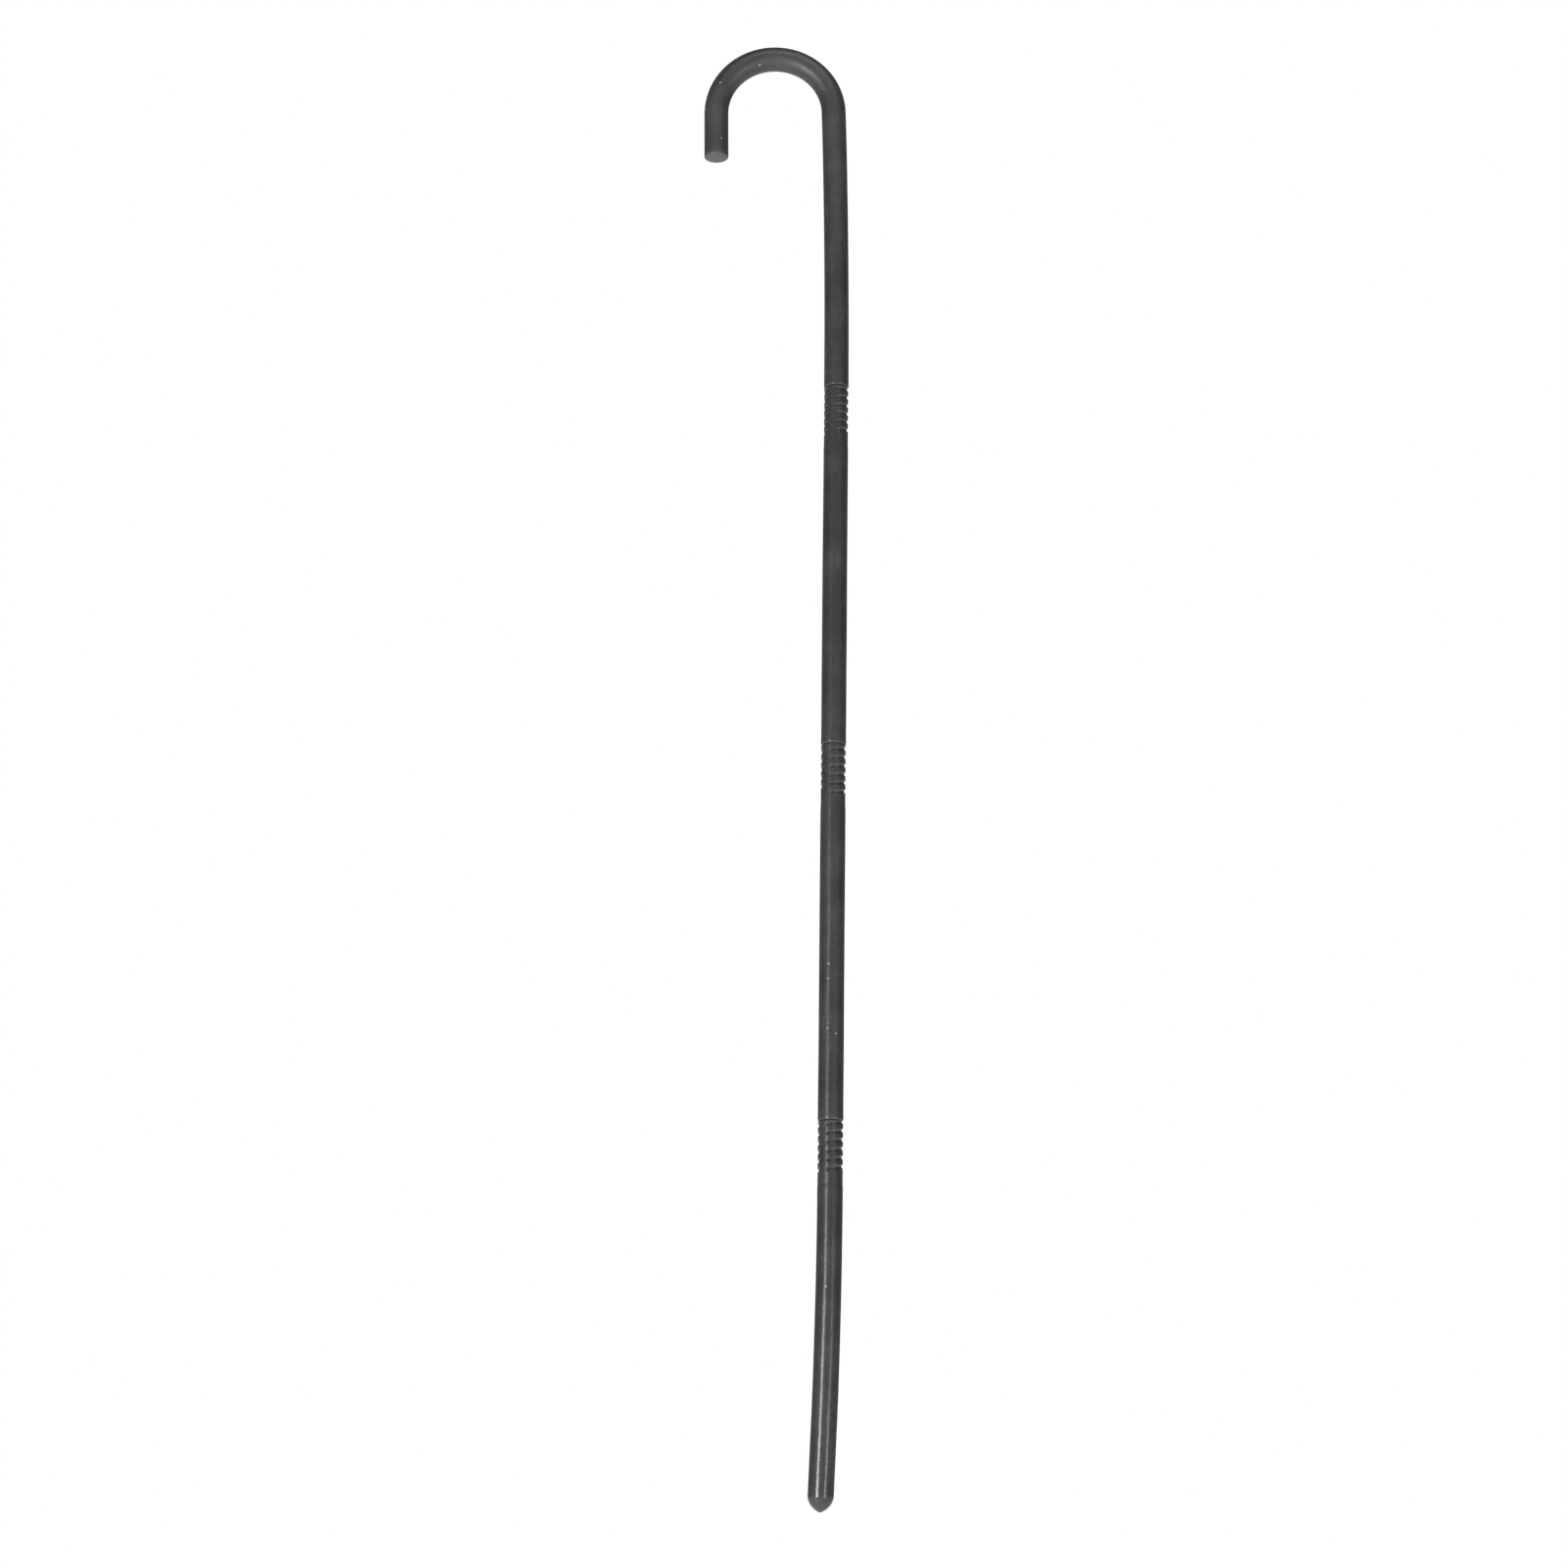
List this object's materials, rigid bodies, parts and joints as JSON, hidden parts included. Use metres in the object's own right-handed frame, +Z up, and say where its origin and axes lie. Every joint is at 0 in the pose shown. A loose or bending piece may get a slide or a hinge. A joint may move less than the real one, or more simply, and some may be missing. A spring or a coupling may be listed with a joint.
{
  "type": "take-apart walking stick",
  "caption": "Light crook-handled plastic walking stick that unscrews into hollow moulded lengths, with ribbed screw joints and a blunt closed tip.",
  "frame": {"origin": "inside of the crook's crown, at the middle of the bend, where the stick hangs or a hand lifts it", "axes": "+Z up along the shaft, from the tip to the crook; the crook lies in the XZ plane and its short leg is on the -X side; +Y across the thickness"},
  "size_m": [0.0925, 0.0152, 0.9144],
  "materials": {
    "stick_plastic": "charcoal moulded polyethylene, satin"
  },
  "bodies": {
    "handle": {"handle": "stick_plastic"},
    "upper_shaft": {"upper_shaft": "stick_plastic"},
    "lower_shaft": {"lower_shaft": "stick_plastic"},
    "tip": {"tip": "stick_plastic"}
  },
  "joints": [
    {"name": "upper_joint", "type": "slide", "parent": "handle", "child": "upper_shaft", "axis": [0, 0, -1], "range_m": [0, 0.04]},
    {"name": "middle_joint", "type": "slide", "parent": "upper_shaft", "child": "lower_shaft", "axis": [0, 0, -1], "range_m": [0, 0.04]},
    {"name": "lower_joint", "type": "slide", "parent": "lower_shaft", "child": "tip", "axis": [0, 0, -1], "range_m": [0, 0.04]}
  ]
}
